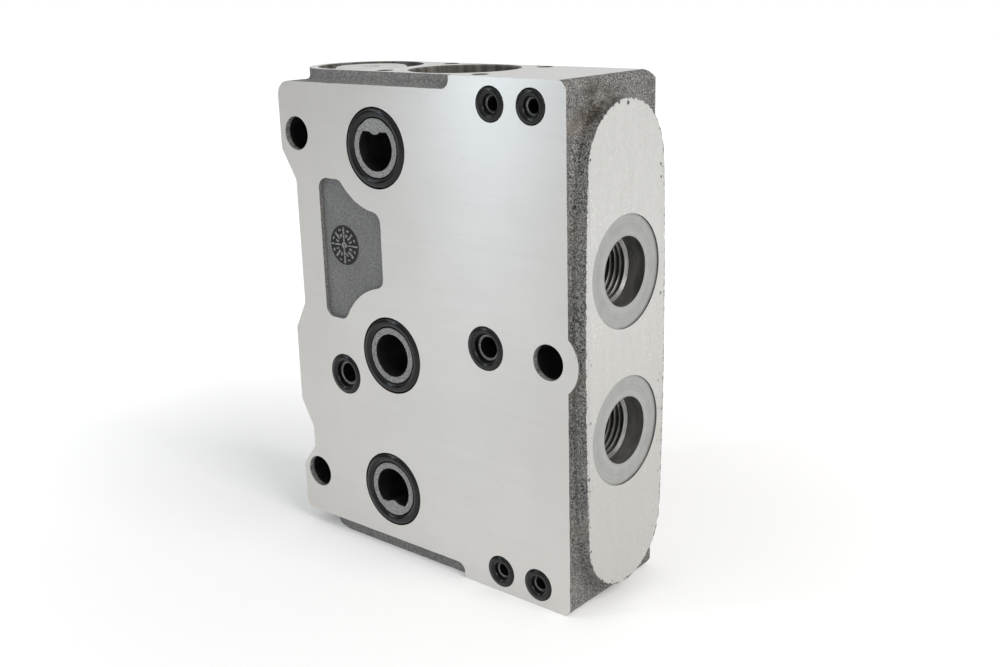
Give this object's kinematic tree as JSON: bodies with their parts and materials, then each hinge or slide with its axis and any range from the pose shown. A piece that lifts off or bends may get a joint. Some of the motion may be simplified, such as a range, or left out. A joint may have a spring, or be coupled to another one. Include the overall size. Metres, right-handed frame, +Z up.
{
  "type": "hydraulic valve section",
  "caption": "Cast directional valve section of a stacked hydraulic valve: sealed front face with ring ports, side pad with threaded work ports, sliding spool and compensator inside.",
  "frame": {"origin": "centre of the bounding box's base, on the lower cap face", "axes": "+X towards the work ports, +Y from the sealed front face to the back face, +Z up along the spool"},
  "size_m": [0.1248, 0.0445, 0.1615],
  "materials": {
    "casting": "rough cast iron with milled faces",
    "seal_rubber": "satin nitrile",
    "ground_steel": "ground",
    "dark_steel": "black oxide",
    "brass": "turned",
    "spring_steel": "drawn wire",
    "plated_steel": "zinc plated"
  },
  "bodies": {
    "section_body": {"housing": "casting", "upper_tank_ring": "seal_rubber", "pump_ring": "seal_rubber", "lower_tank_ring": "seal_rubber", "load_sensing_ring": "seal_rubber", "shuttle_ring": "seal_rubber", "upper_inner_pilot_ring": "seal_rubber", "upper_outer_pilot_ring": "seal_rubber", "lower_inner_pilot_ring": "seal_rubber", "lower_outer_pilot_ring": "seal_rubber", "compensator_plug": "plated_steel", "plug_ring": "seal_rubber", "compensator_spring": "spring_steel", "shuttle_seat": "dark_steel"},
    "spool": {"main_spool": "ground_steel", "spool_plug": "dark_steel"},
    "compensator": {"compensator_piston": "ground_steel", "orifice_jet": "brass"},
    "shuttle": {"shuttle_ball": "ground_steel"}
  },
  "joints": [
    {"name": "spool_slide", "type": "slide", "parent": "section_body", "child": "spool", "axis": [0, 0, 1], "range_m": [-0.007, 0.007]},
    {"name": "compensator_slide", "type": "slide", "parent": "section_body", "child": "compensator", "axis": [0, 0, -1], "range_m": [0, 0.008], "stiffness_N_per_m": 1500, "springref_m": -0.004, "deforming": ["compensator_spring"]},
    {"name": "shuttle_slide", "type": "slide", "parent": "section_body", "child": "shuttle", "axis": [0, 1, 0], "range_m": [0, 0.0012]}
  ]
}
